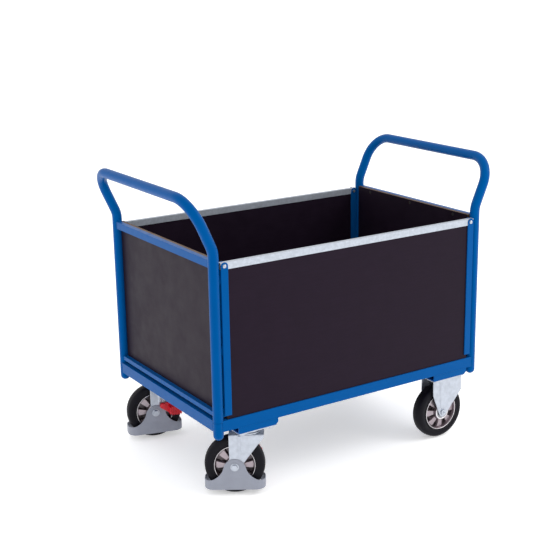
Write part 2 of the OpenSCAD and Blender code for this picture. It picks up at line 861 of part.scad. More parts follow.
side_member();  // side_member_near
rotate([0, 0, 180]) side_member();  // side_member_far
end_member();  // end_member_left
rotate([0, 0, 180]) end_member();  // end_member_right
corner_sockets();
cross_bearers();
castor_brackets();
deck_board();
board_screws();
castor_bolts();
color(paint_blue) handle_tube();  // handle_tube_right
color(paint_blue) mirror([1, 0, 0]) handle_tube();  // handle_tube_left
end_bar(crossbar_z, crossbar_h);  // crossbar_right
mirror([1, 0, 0]) end_bar(crossbar_z, crossbar_h);  // crossbar_left
end_bar(lower_bar_z, lower_bar_h);  // lower_bar_right
mirror([1, 0, 0]) end_bar(lower_bar_z, lower_bar_h);  // lower_bar_left
end_board();  // end_board_right
mirror([1, 0, 0]) end_board();  // end_board_left
wall_tongues();
frame_screws();
swivel_plates();
kingpins();
near_fixed() fixed_fork();  // fixed_fork_near
mirror([0, 1, 0]) near_fixed() fixed_fork();  // fixed_fork_far
both_y() near_fixed() fixed_axle_bolt();  // fixed_axle_bolts
both_y() near_fixed() axle_spacer();  // fixed_axle_spacers
wall_board();  // near_wall_board
wall_rail();  // near_wall_rail
wall_profiles();  // near_wall_profiles
wall_bolts();  // near_wall_bolts
mirror([0, 1, 0]) wall_board();  // far_wall_board
mirror([0, 1, 0]) wall_rail();  // far_wall_rail
mirror([0, 1, 0]) wall_profiles();  // far_wall_profiles
mirror([0, 1, 0]) wall_bolts();  // far_wall_bolts
near_swivel() swivel_fork();  // near_swivel_fork
near_swivel() swivel_race();  // near_swivel_race
near_swivel() axle_bolt(guard_out + seat_gap);  // near_axle_bolt
near_swivel() axle_spacer();  // near_axle_spacer
near_swivel() foot_guard();  // near_foot_guard
near_swivel() pedal_pin(1);  // near_pedal_pin
near_swivel() brake_pedal(1);  // near_brake_pedal
far_swivel() swivel_fork();  // far_swivel_fork
far_swivel() swivel_race();  // far_swivel_race
far_swivel() axle_bolt(guard_out + seat_gap);  // far_axle_bolt
far_swivel() axle_spacer();  // far_axle_spacer
far_swivel() foot_guard();  // far_foot_guard
far_swivel() pedal_pin(-1);  // far_pedal_pin
far_swivel() brake_pedal(-1);  // far_brake_pedal
near_swivel() tyre_ring();  // near_left_tyre
near_swivel() rim_body();  // near_left_rim
near_swivel() wheel_bearings();  // near_left_bearings
far_swivel() tyre_ring();  // far_left_tyre
far_swivel() rim_body();  // far_left_rim
far_swivel() wheel_bearings();  // far_left_bearings
near_fixed() tyre_ring();  // near_right_tyre
near_fixed() rim_body();  // near_right_rim
near_fixed() wheel_bearings();  // near_right_bearings
far_fixed() tyre_ring();  // far_right_tyre
far_fixed() rim_body();  // far_right_rim
far_fixed() wheel_bearings();  // far_right_bearings
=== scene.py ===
from math import acos, atan2, cos, degrees, floor, hypot, pi, radians, sin, sqrt, tan

import bmesh
import bpy
from bpy.props import FloatProperty, FloatVectorProperty, IntProperty, PointerProperty
from mathutils import Matrix, Vector, noise


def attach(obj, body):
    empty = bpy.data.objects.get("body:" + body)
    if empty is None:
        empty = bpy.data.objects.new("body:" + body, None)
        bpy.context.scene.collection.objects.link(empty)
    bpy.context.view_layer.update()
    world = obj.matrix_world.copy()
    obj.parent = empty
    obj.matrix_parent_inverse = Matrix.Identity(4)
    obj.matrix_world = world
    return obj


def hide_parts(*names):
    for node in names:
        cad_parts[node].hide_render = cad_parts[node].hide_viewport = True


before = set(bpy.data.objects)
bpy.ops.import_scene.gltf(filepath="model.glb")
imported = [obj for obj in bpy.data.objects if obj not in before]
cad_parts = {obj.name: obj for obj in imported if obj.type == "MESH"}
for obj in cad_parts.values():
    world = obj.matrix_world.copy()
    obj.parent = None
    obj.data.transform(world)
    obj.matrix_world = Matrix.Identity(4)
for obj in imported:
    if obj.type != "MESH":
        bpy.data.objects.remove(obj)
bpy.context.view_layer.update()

bl_info = {
    "name": "Four-walled platform truck",
    "version": (1, 0, 0),
    "blender": (4, 5, 0),
    "location": "View3D > Sidebar > Platform truck",
    "description": "Builds the finished tubes, castors, boards and stage round the packed frame",
    "category": "Object",
}

MM = 0.001
NEAR_TURN = radians(-33)
FAR_TURN = radians(-15)
# places of the castors in metres: swivel axis, how far the wheel trails it, fixed axle, both across the truck
SWIVEL_X, TRAIL, FIXED_X, CASTOR_Y = -0.385, 0.05, 0.410, 0.291
# millimetres: axle height, and the outer face of a fork leg from the middle of its wheel
AXLE_Z, LEG_V = 100.0, 34.5
# top and bottom of the bars of the ends, and the faces of those bars along the truck, in millimetres
CROSSBAR_Z, LOWER_BAR_Z, BAR_X = (790.3, 814.8), (308.5, 323.0), (519.5, 535.5)
VENEER = 0.0014


# ---------- colour and node helpers ----------

def linear(hex_value, alpha=True):
    """An sRGB hex value as a linear colour."""
    parts = [int(hex_value[i:i + 2], 16) / 255 for i in (1, 3, 5)]
    flat = [p / 12.92 if p <= 0.04045 else ((p + 0.055) / 1.055) ** 2.4 for p in parts]
    return (*flat, 1.0) if alpha else tuple(flat)


def per_metre(mm):
    """Pattern scale for a feature of that size in millimetres."""
    return 1000.0 / mm


def add(tree, kind, inputs=None, **settings):
    """Adds one node with its settings, input values and links."""
    made = tree.nodes.new(kind)
    for key, value in settings.items():
        setattr(made, key, value)
    for key, value in (inputs or {}).items():
        if isinstance(value, bpy.types.NodeSocket):
            tree.links.new(value, made.inputs[key])
        else:
            made.inputs[key].default_value = value
    return made


def finish_named(name, build):
    """The finish of that name, built once."""
    found = bpy.data.materials.get(name)
    if found is None:
        found = bpy.data.materials.new(name)
        found.use_nodes = True
        found.node_tree.nodes.clear()
        shader = build(found.node_tree)
        add(found.node_tree, "ShaderNodeOutputMaterial", {"Surface": shader.outputs[0]})
    return found


def colour_of(group, name):
    """A colour property as RGBA."""
    return (*getattr(getattr(bpy.context.scene, group), name), 1.0)


def darker(rgba, share):
    return (rgba[0] * share, rgba[1] * share, rgba[2] * share, 1.0)


def place_of(tree):
    """The object's own coordinates."""
    return add(tree, "ShaderNodeTexCoord").outputs["Object"]


def mottle(tree, place, mm, detail=2.0, **more):
    """Noise with features of that size."""
    return add(tree, "ShaderNodeTexNoise", {"Vector": place, "Scale": per_metre(mm), "Detail": detail,
                                            **more}).outputs["Fac"]


def maths(tree, operation, *values):
    return add(tree, "ShaderNodeMath", dict(enumerate(values)), operation=operation).outputs[0]


def blend(tree, share, low, high):
    """A colour between low and high."""
    return add(tree, "ShaderNodeMix", {0: share, 6: low, 7: high}, data_type="RGBA").outputs[2]


def spread(tree, value, low, high, start=0.0, stop=1.0):
    """Maps start to stop onto low to high."""
    return add(tree, "ShaderNodeMapRange", {"Value": value, "From Min": start, "From Max": stop,
                                            "To Min": low, "To Max": high}).outputs[0]


def relief(tree, height, strength, depth=0.0002):
    return add(tree, "ShaderNodeBump", {"Height": height, "Strength": strength, "Distance": depth}).outputs[0]


def surface(tree, colour, roughness, more, normal=None):
    """The shader, with its uniform numbers on their own sockets."""
    inputs = {"Base Color": colour, "Roughness": roughness, **more}
    if normal is not None:
        inputs["Normal"] = normal
    return add(tree, "ShaderNodeBsdfPrincipled", inputs)


# ---------- finishes ----------

def blue_enamel():
    """Polyester powder coat on steel: thick, with a soft orange peel and faint rubs."""
    def build(tree):
        base, place = colour_of("truck_finishes", "enamel"), place_of(tree)
        tone = blend(tree, mottle(tree, place, 70, 3.0), darker(base, 0.93), darker(base, 1.06))
        gloss = spread(tree, mottle(tree, place, 18, 5.0), 0.3, 0.42, 0.3, 0.75)
        # the real peel is about 1 mm across; it is drawn at 3 mm so that it shows
        peel = relief(tree, mottle(tree, place, 3, 1.0), 0.05)
        return surface(tree, tone, gloss, {"IOR": 1.5, "Specular IOR Level": 0.14,
                                           "Specular Tint": linear("#2A96E6")}, peel)
    return finish_named("blue_powder_coat", build)


def bright_zinc():
    """Zinc plate with blue passivation on pressed steel: pale, bluish, with a cloudy, half-dull gleam."""
    def build(tree):
        base, place = colour_of("truck_finishes", "zinc"), place_of(tree)
        cloud = mottle(tree, place, 14, 4.0)
        # rolling marks in the sheet, real spacing 0.3 mm, drawn at 1.2 mm
        stretch = add(tree, "ShaderNodeMapping", {"Vector": place, "Scale": (1.0, 1.0, 0.06)}).outputs[0]
        return surface(tree, blend(tree, cloud, darker(base, 0.7), base), spread(tree, cloud, 0.46, 0.3, 0.3, 0.7),
                       {"Metallic": 0.85}, relief(tree, mottle(tree, stretch, 1.2), 0.1))
    return finish_named("blue_passivated_zinc", build)


def galvanised_sheet():
    """Hot-dip galvanised sheet: pale grey with fine crystal spangle that breaks up the gleam."""
    def build(tree):
        base, place = colour_of("truck_finishes", "galvanised"), place_of(tree)
        # skin-passed spangle is 4 to 8 mm across
        spangle = add(tree, "ShaderNodeTexVoronoi", {"Vector": place, "Scale": per_metre(7), "Randomness": 1.0})
        grey = add(tree, "ShaderNodeSeparateColor", {"Color": spangle.outputs["Color"]}).outputs
        return surface(tree, blend(tree, grey[0], darker(base, 0.86), base), spread(tree, grey[1], 0.34, 0.5),
                       {"Metallic": 0.6})
    return finish_named("galvanised_sheet", build)


def film_ply(axis):
    """Birch plywood hot-pressed with a smooth phenolic film: near-black with a soft sheen, faint grain
    telegraphing through, and sealed edges that show the veneers. axis is across the board."""
    def build(tree):
        film = colour_of("truck_finishes", "film")
        coords = add(tree, "ShaderNodeTexCoord").outputs
        place = coords["Object"]
        # grain runs level; pores are drawn 2.5 mm wide and 60 mm long
        along = {"X": (1.0, 0.04, 1.0), "Y": (0.04, 1.0, 1.0), "Z": (0.04, 1.0, 1.0)}[axis]
        stretch = add(tree, "ShaderNodeMapping", {"Vector": place, "Scale": along}).outputs[0]
        grain, cloud = mottle(tree, stretch, 2.5, 4.0), mottle(tree, place, 55, 5.0)
        tone = blend(tree, maths(tree, "MULTIPLY", grain, cloud), darker(film, 0.75), darker(film, 1.6))
        # veneers change direction, so they alternate light and dark
        across = add(tree, "ShaderNodeSeparateXYZ", {"Vector": place}).outputs[axis]
        veneer = maths(tree, "GREATER_THAN", maths(tree, "PINGPONG", across, 2 * VENEER), VENEER)
        edge = blend(tree, veneer, linear("#4A372A"), linear("#6B5138"))
        facing = add(tree, "ShaderNodeSeparateXYZ", {"Vector": coords["Normal"]}).outputs[axis]
        face = maths(tree, "GREATER_THAN", maths(tree, "ABSOLUTE", facing), 0.5)
        return surface(tree, blend(tree, face, edge, tone), spread(tree, cloud, 0.38, 0.5, 0.3, 0.7),
                       {"IOR": 1.55, "Specular IOR Level": 0.11, "Specular Tint": linear("#E2C4E6")},
                       relief(tree, grain, 0.1, 0.0003))
    return finish_named("phenolic_film_birch_ply_" + axis.lower(), build)


def elastic_rubber():
    """Moulded elastic solid rubber: soft black with a dull sheen and a fine dusting on the tread."""
    def build(tree):
        base, place = colour_of("truck_finishes", "rubber"), place_of(tree)
        dust = mottle(tree, place, 22, 6.0)
        # moulded skin, real grain 0.4 mm, drawn at 1.5 mm
        skin = relief(tree, mottle(tree, place, 1.5), 0.15, 0.0003)
        return surface(tree, blend(tree, dust, darker(base, 0.8), darker(base, 1.5)), spread(tree, dust, 0.42, 0.62),
                       {"IOR": 1.52, "Specular IOR Level": 0.12}, skin)
    return finish_named("elastic_solid_rubber", build)


def cast_aluminium(name="die_cast_aluminium", share=1.0):
    """Die-cast aluminium, as cast: warm grey skin, softly gleaming, with faint flow marks. A lower share
    gives a darkened copy that is painted shade on the faces deep in the pockets."""
    def build(tree):
        base, place = darker(colour_of("truck_finishes", "aluminium"), share), place_of(tree)
        flow = mottle(tree, place, 16, 4.0, Distortion=0.6)
        # cast skin, real grain 0.3 mm, drawn at 1 mm
        skin = relief(tree, mottle(tree, place, 1), 0.12)
        return surface(tree, blend(tree, flow, darker(base, 0.8), base), spread(tree, flow, 0.3, 0.48),
                       {"Metallic": 1.0}, skin)
    return finish_named(name, build)


def machined_aluminium():
    """Turned rim and hub faces: bright and softly mottled."""
    def build(tree):
        wear = mottle(tree, place_of(tree), 9, 3.0)
        return surface(tree, blend(tree, wear, linear("#C9C4C8"), linear("#F1EEF0")), spread(tree, wear, 0.22, 0.36),
                       {"Metallic": 1.0})
    return finish_named("turned_aluminium", build)


def grey_powder_coat():
    """Silver-grey powder coat on the pressed guards: satin, very finely speckled."""
    def build(tree):
        base, place = colour_of("truck_finishes", "guard"), place_of(tree)
        # metal flake, real 0.1 mm, drawn at 1.2 mm
        flake, cloud = mottle(tree, place, 1.2), mottle(tree, place, 30, 4.0)
        tone = blend(tree, maths(tree, "MULTIPLY", flake, cloud), darker(base, 0.86), darker(base, 1.35))
        return surface(tree, tone, spread(tree, cloud, 0.36, 0.5), {"IOR": 1.5}, relief(tree, flake, 0.06))
    return finish_named("silver_grey_powder_coat", build)


def red_nylon():
    """Injection-moulded nylon of the pedals: strong red, semi-gloss, with a spark-eroded grain."""
    def build(tree):
        base, place = colour_of("truck_finishes", "pedal"), place_of(tree)
        scuff = mottle(tree, place, 12, 5.0)
        # spark-eroded grain, real 0.3 mm, drawn at 1.1 mm
        grain = add(tree, "ShaderNodeTexVoronoi", {"Vector": place, "Scale": per_metre(1.1)}).outputs["Distance"]
        return surface(tree, blend(tree, scuff, darker(base, 0.8), darker(base, 1.15)),
                       spread(tree, scuff, 0.28, 0.45), {"IOR": 1.53}, relief(tree, grain, 0.1))
    return finish_named("moulded_red_nylon", build)


def ground_steel():
    """Ground bearing steel with a thin oil film: mid grey."""
    def build(tree):
        film = mottle(tree, place_of(tree), 6, 3.0)
        return surface(tree, blend(tree, film, linear("#77797D"), linear("#A8AAAE")), spread(tree, film, 0.2, 0.38),
                       {"Metallic": 1.0})
    return finish_named("ground_bearing_steel", build)


def black_oxide():
    """Black-oxide coat on the board screws: near-black, dull, a little worn."""
    def build(tree):
        wear = mottle(tree, place_of(tree), 5, 4.0)
        return surface(tree, blend(tree, wear, linear("#131315"), linear("#2C2C30")), spread(tree, wear, 0.4, 0.6),
                       {"Metallic": 0.4})
    return finish_named("black_oxide_steel", build)


def studio_paper():
    """Matt white background paper with the faintest mottling, lit partly from behind."""
    def build(tree):
        tone = blend(tree, mottle(tree, place_of(tree), 400), linear("#F6F6F6"), linear("#F9F9F9"))
        # part of its light is its own, so the truck's shadow stays faint
        return surface(tree, tone, 0.9, {"Specular IOR Level": 0.1, "Emission Color": tone,
                                         "Emission Strength": bpy.context.scene.truck_stage.paper})
    return finish_named("studio_paper", build)


# ---------- mesh helpers ----------

def circle(r, y, steps):
    """Points on a circle about the Y axis."""
    return [(r * cos(2 * pi * k / steps), y, r * sin(2 * pi * k / steps)) for k in range(steps)]


class Shape:
    """Vertices, faces and the finish number of each face, gathered in millimetres."""

    def __init__(self):
        self.points, self.faces, self.marks = [], [], []

    def grid(self, rows, mark=0, close_rows=False, close_columns=False, flip=False):
        """Joins rows of points into quads."""
        start = len(self.points)
        wide = len(rows[0])
        for row in rows:
            self.points.extend(row)
        last_row = len(rows) if close_rows else len(rows) - 1
        last_column = wide if close_columns else wide - 1
        for i in range(last_row):
            for j in range(last_column):
                a = start + i * wide + j
                b = start + i * wide + (j + 1) % wide
                c = start + ((i + 1) % len(rows)) * wide + (j + 1) % wide
                d = start + ((i + 1) % len(rows)) * wide + j
                self.faces.append((d, c, b, a) if flip else (a, b, c, d))
                self.marks.append(mark)

    def turned(self, outline, steps=64, mark=0, closed=True):
        """Turns (radius, y) points about the Y axis."""
        self.grid([circle(r, y, steps) for r, y in outline], mark, close_rows=closed, close_columns=True)

    def upright(self, outline, centre, steps=40, mark=0, closed=False):
        """Turns (radius, z) points about an upright axis at centre."""
        rows = [[(centre[0] + r * cos(2 * pi * k / steps), centre[1] + r * sin(2 * pi * k / steps), z)
                 for k in range(steps)] for r, z in outline]
        self.grid(rows, mark, close_rows=closed, close_columns=True)

    def swept(self, path, radius, steps=32, mark=0, ends=True):
        """A round rod of that radius along a path of points."""
        ways = []
        for i, point in enumerate(path):
            before = path[max(i - 1, 0)]
            after = path[min(i + 1, len(path) - 1)]
            ways.append((Vector(after) - Vector(before)).normalized())
        side = ways[0].orthogonal().normalized()
        rows = []
        for i, (point, way) in enumerate(zip(path, ways)):
            side = (side - way * side.dot(way)).normalized()
            other = way.cross(side)
            r = radius[i] if isinstance(radius, (list, tuple)) else radius
            rows.append([tuple(Vector(point) + r * (side * cos(2 * pi * k / steps) + other * sin(2 * pi * k / steps)))
                         for k in range(steps)])
        self.grid(rows, mark, close_columns=True)
        if ends:
            first = len(self.points) - len(rows) * steps
            self.faces.append(tuple(range(first + steps - 1, first - 1, -1)))
            self.faces.append(tuple(range(len(self.points) - steps, len(self.points))))
            self.marks += [mark, mark]

    def slab(self, outline, low, high, mark=0, place=None):
        """A flat plate: outline of (a, z) points, thick from v = low to high."""
        put = place or (lambda a, v, z: (a, v, z))
        start, n = len(self.points), len(outline)
        self.points += [put(a, low, z) for a, z in outline] + [put(a, high, z) for a, z in outline]
        self.faces.append(tuple(range(start, start + n)))
        self.faces.append(tuple(range(start + 2 * n - 1, start + n - 1, -1)))
        self.faces += [(start + (k + 1) % n, start + k, start + n + k, start + n + (k + 1) % n) for k in range(n)]
        self.marks += [mark] * (n + 2)

    def made(self, name, finishes, body, replaces=(), slot=None, matrix=None):
        """The finished object, riding on its body."""
        mesh = bpy.data.meshes.new(name)
        turn = matrix or Matrix.Identity(4)
        mesh.from_pydata([tuple(turn @ (Vector(p) * MM)) for p in self.points], [], self.faces)
        for finish in finishes:
            mesh.materials.append(finish)
        for face, mark in zip(mesh.polygons, self.marks):
            face.material_index = mark
        work = bmesh.new()
        work.from_mesh(mesh)
        bmesh.ops.remove_doubles(work, verts=work.verts, dist=1e-6)
        bmesh.ops.recalc_face_normals(work, faces=work.faces)
        work.to_mesh(mesh)
        work.free()
        mesh.shade_smooth()
        piece = bpy.data.objects.new(name, mesh)
        bpy.context.scene.collection.objects.link(piece)
        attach(piece, body)
        if replaces:
            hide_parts(*replaces)
        return piece


def crisp(piece, angle=35):
    piece.data.set_sharp_from_angle(angle=radians(angle))
    return piece


def eased(piece, width, angle=35):
    """Rounds the piece's hard edges by that width in millimetres."""
    bevel = piece.modifiers.new("eased_edges", "BEVEL")
    bevel.width = width * MM
    bevel.segments = 2
    bevel.limit_method = "ANGLE"
    bevel.angle_limit = radians(angle)


def dressed(node, finish, width=0.0, angle=35):
    """Gives a CAD node its finish and, if asked, eased edges."""
    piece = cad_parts[node]
    piece.data.materials.clear()
    piece.data.materials.append(finish)
    if "custom_normal" in piece.data.attributes:
        piece.data.attributes.remove(piece.data.attributes["custom_normal"])
    piece.data.shade_smooth()
    weld = piece.modifiers.new("joined_points", "WELD")
    weld.merge_threshold = 0.00001
    flat = piece.modifiers.new("flat_faces", "DECIMATE")
    flat.decimate_type = "DISSOLVE"
    flat.angle_limit = radians(1)
    if width:
        eased(piece, width, angle)
    sharp = piece.modifiers.new("even_shading", "WEIGHTED_NORMAL")
    sharp.keep_sharp = True
    piece.data.set_sharp_from_angle(angle=radians(28))
    return piece


def arc(centre, radius, start, end, steps):
    """Points on an arc in degrees, as (x, z)."""
    return [(centre[0] + radius * cos(radians(start + (end - start) * k / steps)),
             centre[1] + radius * sin(radians(start + (end - start) * k / steps))) for k in range(steps + 1)]


def swivel_matrix(side):
    """Places a shape drawn about its wheel into a swivel castor; side is near or far."""
    turn = NEAR_TURN if side == "near" else FAR_TURN
    y = -CASTOR_Y if side == "near" else CASTOR_Y
    return Matrix.Translation((SWIVEL_X, y, 0)) @ Matrix.Rotation(turn, 4, "Z") @ Matrix.Translation((-TRAIL, 0, 0))


def fixed_matrix(side):
    """Places a shape drawn about its wheel into a fixed castor."""
    return Matrix.Translation((FIXED_X, -CASTOR_Y if side == "near" else CASTOR_Y, 0))


WHEELS = {
    "near_left": lambda: swivel_matrix("near"), "far_left": lambda: swivel_matrix("far"),
    "near_right": lambda: fixed_matrix("near"), "far_right": lambda: fixed_matrix("far"),
}


# ---------- sizes and colours that a user would change ----------

def length(name, description, metres):
    return FloatProperty(name=name, description=description, default=metres, unit="LENGTH")


def tint(name, description, hex_value):
    return FloatVectorProperty(name=name, description=description, default=linear(hex_value, False),
                               subtype="COLOR")


class TruckTubes(bpy.types.PropertyGroup):
    post_x: length("Post, along", "Post axis from the middle, along the truck", 0.525)
    post_y: length("Post, across", "Post axis from the middle, across the truck", 0.334)
    tube_d: length("Tube diameter", "Outer diameter of the tube", 0.0337)
    bend_z: length("Bend height", "Height at which the posts start to lean", 0.82428)
    lean: FloatProperty(name="Lean", description="Outward lean of the handle", default=radians(24), subtype="ANGLE")
    lean_r: length("Lean radius", "Bend radius of the lean", 0.08)
    leg: length("Leaning length", "Straight length of the leaning leg", 0.06801)
    corner_r: length("Corner radius", "Bend radius of the handle corners", 0.092)
    weld: length("Weld size", "Thickness of a weld bead", 0.0022)
    fold: length("Fold radius", "Outside radius of the folded channel", 0.0022)


class TruckWheels(bpy.types.PropertyGroup):
    wheel_d: length("Wheel diameter", "Diameter over the tread", 0.2)
    tyre_w: length("Tyre width", "Width of the tyre", 0.048)
    rim_d: length("Rim diameter", "Diameter of the rim", 0.136)
    hub_d: length("Hub diameter", "Diameter of the hub", 0.058)
    fans: IntProperty(name="Fans", description="Raised fans on each face of the rim", default=8, min=3, max=14)


class TruckGuards(bpy.types.PropertyGroup):
    reach: length("Reach", "Half length of the guard band", 0.1)
    lower: length("Lower edge", "Height of the guard's lower edge", 0.021)
    band: length("Band height", "Height of the guard band", 0.031)
    dome_r: length("Dome radius", "Radius of the dome over the axle", 0.037)
    dome_rise: length("Dome rise", "Top of the dome above the axle", 0.0275)
    flare_r: length("Flare radius", "Radius of the flare into the band", 0.058)
    sheet: length("Sheet", "Sheet thickness of the guard", 0.0025)


class TruckFinishes(bpy.types.PropertyGroup):
    enamel: tint("Frame coat", "Powder coat of the frame", "#004E90")
    zinc: tint("Zinc", "Passivated zinc plate", "#C3C9D4")
    galvanised: tint("Rails", "Galvanised rail sheet", "#B9C0CB")
    film: tint("Board film", "Phenolic film of the boards", "#1A121D")
    rubber: tint("Tyre", "Elastic rubber", "#0D0C13")
    aluminium: tint("Rim", "Die-cast aluminium", "#A89DA3")
    guard: tint("Foot guard", "Powder coat of the guards", "#898D9A")
    pedal: tint("Pedal", "Nylon of the pedals", "#D20A24")


class TruckStage(bpy.types.PropertyGroup):
    key: FloatProperty(name="Key light", description="Power of the large soft box", default=60.0, subtype="POWER")
    fill: FloatProperty(name="Fill light", description="Power of the low soft box", default=12.0, subtype="POWER")
    room: FloatProperty(name="Room light", description="Strength of the white room", default=1.0)
    paper: FloatProperty(name="Paper glow", description="Light that the floor gives by itself", default=0.42)
    lens: FloatProperty(name="Lens", description="Focal length", default=74.9, subtype="DISTANCE_CAMERA")


# ---------- operators ----------

class TRUCK_OT_frame(bpy.types.Operator):
    """Folded channels, brackets, bearers, bars and wall profiles in blue powder coat"""
    bl_idname = "truck.frame"
    bl_label = "Frame members"

    def execute(self, context):
        coat = blue_enamel()
        fold = context.scene.truck_tubes.fold / MM
        for node in ("side_member_near", "side_member_far", "end_member_left", "end_member_right"):
            dressed(node, coat, fold)
        for node in ("castor_brackets", "cross_bearers", "crossbar_left", "crossbar_right", "lower_bar_left",
                     "lower_bar_right"):
            dressed(node, coat, 1.2)
        for node in ("wall_tongues", "near_wall_profiles", "far_wall_profiles"):
            dressed(node, coat, 0.5)
        return {"FINISHED"}


def handle_line(tubes, low):
    """Centre line of one bent handle, from the near post's foot to the far post's, in millimetres."""
    px, py, bend_z = tubes.post_x / MM, tubes.post_y / MM, tubes.bend_z / MM
    r, leg, corner, lean = tubes.lean_r / MM, tubes.leg / MM, tubes.corner_r / MM, tubes.lean
    half = [(px, -py, low + (bend_z - low) * k / 8) for k in range(8)]
    half += [(px + r - r * cos(lean * k / 10), -py, bend_z + r * sin(lean * k / 10)) for k in range(11)]
    foot = Vector((px + r - r * cos(lean), -py, bend_z + r * sin(lean)))
    up = Vector((sin(lean), 0, cos(lean)))
    half += [tuple(foot + up * leg * k / 4) for k in range(1, 4)]
    top = foot + up * leg
    for k in range(15):
        t = pi / 2 * k / 14
        half.append(tuple(top + up * corner * sin(t) + Vector((0, corner * (1 - cos(t)), 0))))
    end = half[-1]
    grip = [(end[0], end[1] * (1 - k / 6), end[2]) for k in range(1, 6)]
    middle = [(end[0], 0.0, end[2])]
    other = [(x, -y, z) for x, y, z in reversed(half + grip)]
    return half + grip + middle + other


class TRUCK_OT_handles(bpy.types.Operator):
    """Bent tube handles with their posts, and the plugs that sit in the sockets"""
    bl_idname = "truck.handles"
    bl_label = "Handle tubes"

    def execute(self, context):
        tubes = context.scene.truck_tubes
        r = tubes.tube_d / MM / 2 - 0.06
        for side, flip in (("right", 1), ("left", -1)):
            shape = Shape()
            line = [(flip * x, y, z) for x, y, z in handle_line(tubes, 290.3)]
            widths = [r] * len(line)
            # the tube ends are chamfered where they sit on the sockets
            first, last = line[0], line[-1]
            line = [first, (*first[:2], 291.1)] + line[1:-1] + [(*last[:2], 291.1), last]
            widths = [r - 0.8, r] + widths[1:-1] + [r, r - 0.8]
            shape.swept(line, widths, steps=40)
            for s in (-1, 1):
                plug = [(flip * tubes.post_x / MM, s * tubes.post_y / MM, z) for z in (248.5, 250, 292)]
                shape.swept(plug, [12.6, 14.1, 14.1], steps=32)
            crisp(shape.made("handle_" + side, [blue_enamel()], "truck", ("handle_tube_" + side,), "blue_paint"), 40)
        return {"FINISHED"}


class TRUCK_OT_sockets(bpy.types.Operator):
    """Corner sockets with domed feet and a seam where the posts sit"""
    bl_idname = "truck.sockets"
    bl_label = "Corner sockets"

    def execute(self, context):
        tubes = context.scene.truck_tubes
        r = tubes.tube_d / MM / 2
        dome = [(max(r * cos(radians(a)), 0.01), 229 + r + r * sin(radians(a))) for a in range(-90, 1, 10)]
        wall = dome + [(r, 250), (r, 270), (r, 289.2), (r - 0.8, 290), (14.4, 290), (14.4, 246), (0.01, 246)]
        shape = Shape()
        for sx in (-1, 1):
            for sy in (-1, 1):
                shape.upright(wall, (sx * tubes.post_x / MM, sy * tubes.post_y / MM), steps=40)
        crisp(shape.made("corner_sockets_turned", [blue_enamel()], "truck", ("corner_sockets",), "blue_paint"), 40)
        return {"FINISHED"}


def bead(shape, points, size, seed):
    """A lumpy weld bead along a line of points."""
    fine, widths = [], []
    for a, b in zip(points, points[1:]):
        a, b = Vector(a), Vector(b)
        steps = max(int((b - a).length / 1.6), 1)
        for k in range(steps):
            fine.append(tuple(a.lerp(b, k / steps)))
    fine.append(points[-1])
    for k in range(len(fine)):
        ripple = 0.12 * (1 if k % 2 else -1)
        widths.append(size * (1 + ripple + 0.25 * noise.noise(Vector((k * 0.35, seed, 0)))))
    shape.swept(fine, widths, steps=8)


class TRUCK_OT_welds(bpy.types.Operator):
    """Fillet welds where the bars and channels meet the posts and sockets"""
    bl_idname = "truck.welds"
    bl_label = "Weld beads"

    def execute(self, context):
        tubes = context.scene.truck_tubes
        size, r = tubes.weld / MM / 2, tubes.tube_d / MM / 2
        px, py = tubes.post_x / MM, tubes.post_y / MM
        shape = Shape()
        seed = 0
        for sx in (-1, 1):
            for sy in (-1, 1):
                for low, high in (CROSSBAR_Z, LOWER_BAR_Z):
                    seed += 1
                    y = sy * (py - sqrt(r * r - (BAR_X[1] - px) ** 2))
                    outer = [(sx * 535.9, y, low), (sx * 535.9, y, high)]
                    steps = [BAR_X[0] + 16 * k / 6 for k in range(7)]
                    top = [(sx * x, sy * (py - sqrt(r * r - (x - px) ** 2)), high + 0.3) for x in steps]
                    bead(shape, outer + top[::-1], size, seed)
                # side and end channels to the sockets
                seed += 1
                bead(shape, [(sx * (px - r * cos(radians(a))), sy * (py + r * sin(radians(a)) + 0.3), 259.5)
                             for a in (20, 35, 50, 62)], size, seed)
                back = sqrt(max(r * r - 15.2 ** 2, 0))
                levels = (261, 275, 288)
                bead(shape, [(sx * (px - back), sy * (py + 15.6), z) for z in levels], size * 0.8, seed + 40)
                bead(shape, [(sx * (px + 15.6), sy * (py - back), z) for z in levels], size * 0.8, seed + 80)
        shape.made("weld_beads", [blue_enamel()], "truck", (), "blue_paint")
        return {"FINISHED"}


class TRUCK_OT_boards(bpy.types.Operator):
    """Film-faced plywood deck, end boards and lift-out long walls"""
    bl_idname = "truck.boards"
    bl_label = "Boards"

    def execute(self, context):
        dressed("deck_board", film_ply("Z"), 0.4)
        for node in ("end_board_left", "end_board_right"):
            dressed(node, film_ply("X"), 0.5)
        for node in ("near_wall_board", "far_wall_board"):
            dressed(node, film_ply("Y"), 0.5)
        return {"FINISHED"}


class TRUCK_OT_rails(bpy.types.Operator):
    """Galvanised top rails of the long walls"""
    bl_idname = "truck.rails"
    bl_label = "Top rails"

    def execute(self, context):
        for node in ("near_wall_rail", "far_wall_rail"):
            dressed(node, galvanised_sheet(), 0.7)
        return {"FINISHED"}


class TRUCK_OT_fasteners(bpy.types.Operator):
    """Bolts, screws, pins and spacer tubes"""
    bl_idname = "truck.fasteners"
    bl_label = "Fasteners"

    def execute(self, context):
        dressed("board_screws", black_oxide(), 0.4, 50)
        for node in ("frame_screws", "castor_bolts", "kingpins", "fixed_axle_bolts", "near_axle_bolt",
                     "far_axle_bolt", "near_pedal_pin", "far_pedal_pin"):
            dressed(node, bright_zinc(), 0.5, 50)
        for node in ("near_wall_bolts", "far_wall_bolts", "fixed_axle_spacers", "near_axle_spacer", "far_axle_spacer"):
            dressed(node, bright_zinc())
        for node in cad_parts:
            if node.endswith("_bearings"):
                dressed(node, ground_steel(), 0.4, 50)
        return {"FINISHED"}


